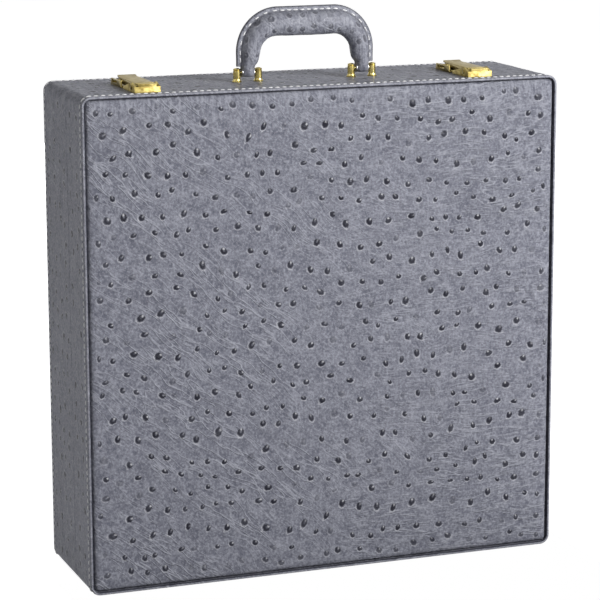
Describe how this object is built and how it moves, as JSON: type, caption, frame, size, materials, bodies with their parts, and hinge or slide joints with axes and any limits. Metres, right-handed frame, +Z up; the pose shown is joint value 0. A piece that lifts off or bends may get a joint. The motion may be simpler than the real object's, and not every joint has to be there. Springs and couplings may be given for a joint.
{
  "type": "chess piece storage case",
  "caption": "Square attache-style storage case in padded ostrich leather, hinged in two halves, with a folding padded handle, hasp latches and a lined grid of compartments.",
  "frame": {"origin": "centre of the case's footprint, on the surface it stands on", "axes": "+Z up through the handle, -Y out of the lid's padded front, X along the case's width"},
  "size_m": [0.46, 0.1352, 0.5239],
  "materials": {
    "ostrich_leather": "satin grey-blue ostrich leather",
    "handle_leather": "satin grey-blue ostrich leather, padded",
    "polished_brass": "polished",
    "steel": "brushed",
    "wood_board": "sanded plywood",
    "velvet_lining": "short velvet"
  },
  "bodies": {
    "base": {"base_back_board": "wood_board", "base_band": "ostrich_leather", "base_board_bottom": "wood_board", "base_board_left": "wood_board", "base_board_right": "wood_board", "base_board_top": "wood_board", "base_liner_bottom": "velvet_lining", "base_liner_left": "velvet_lining", "base_liner_right": "velvet_lining", "base_liner_top": "velvet_lining", "base_panel": "ostrich_leather", "floor_lining": "velvet_lining", "handle_pins": "polished_brass", "handle_post_1": "polished_brass", "handle_post_2": "polished_brass", "handle_post_3": "polished_brass", "handle_post_4": "polished_brass", "hinge_leaf_base": "steel", "hinge_pin": "steel", "hinge_screws_base": "steel", "latch_left_bar": "polished_brass", "latch_left_catch": "polished_brass", "latch_left_catch_rivets": "polished_brass", "latch_left_spring": "steel", "latch_right_bar": "polished_brass", "latch_right_catch": "polished_brass", "latch_right_catch_rivets": "polished_brass", "latch_right_spring": "steel", "post_nuts": "steel", "tray_shelf_1": "velvet_lining", "tray_shelf_2": "velvet_lining", "tray_shelf_3": "velvet_lining", "tray_upright_1": "velvet_lining", "tray_upright_2": "velvet_lining", "tray_upright_3": "velvet_lining", "tray_upright_4": "velvet_lining", "tray_upright_5": "velvet_lining"},
    "lid": {"hinge_leaf_lid": "steel", "hinge_screws_lid": "steel", "latch_left_bracket": "polished_brass", "latch_left_bracket_rivets": "polished_brass", "latch_left_pin": "polished_brass", "latch_right_bracket": "polished_brass", "latch_right_bracket_rivets": "polished_brass", "latch_right_pin": "polished_brass", "lid_band": "ostrich_leather", "lid_board_bottom": "wood_board", "lid_board_left": "wood_board", "lid_board_right": "wood_board", "lid_board_top": "wood_board", "lid_face_board": "wood_board", "lid_liner": "velvet_lining", "lid_pad": "velvet_lining", "lid_panel": "ostrich_leather"},
    "handle": {"handle_core": "steel", "handle_grip": "handle_leather"},
    "hasp_left": {"latch_left_hasp": "polished_brass"},
    "hasp_right": {"latch_right_hasp": "polished_brass"}
  },
  "joints": [
    {"name": "lid_hinge", "type": "hinge", "parent": "base", "child": "lid", "pos_m": [0, -0.014, 0.0024], "axis": [1, 0, 0], "range_deg": [0, 100]},
    {"name": "handle_pivot", "type": "hinge", "parent": "base", "child": "handle", "pos_m": [0, -0.0083, 0.4645], "axis": [1, 0, 0], "range_deg": [-80, 80]},
    {"name": "hasp_left_pivot", "type": "hinge", "parent": "lid", "child": "hasp_left", "pos_m": [-0.166, -0.044, 0.4604], "axis": [1, 0, 0], "range_deg": [0, 110]},
    {"name": "hasp_right_pivot", "type": "hinge", "parent": "lid", "child": "hasp_right", "pos_m": [0.156, -0.044, 0.4604], "axis": [1, 0, 0], "range_deg": [0, 110]}
  ]
}
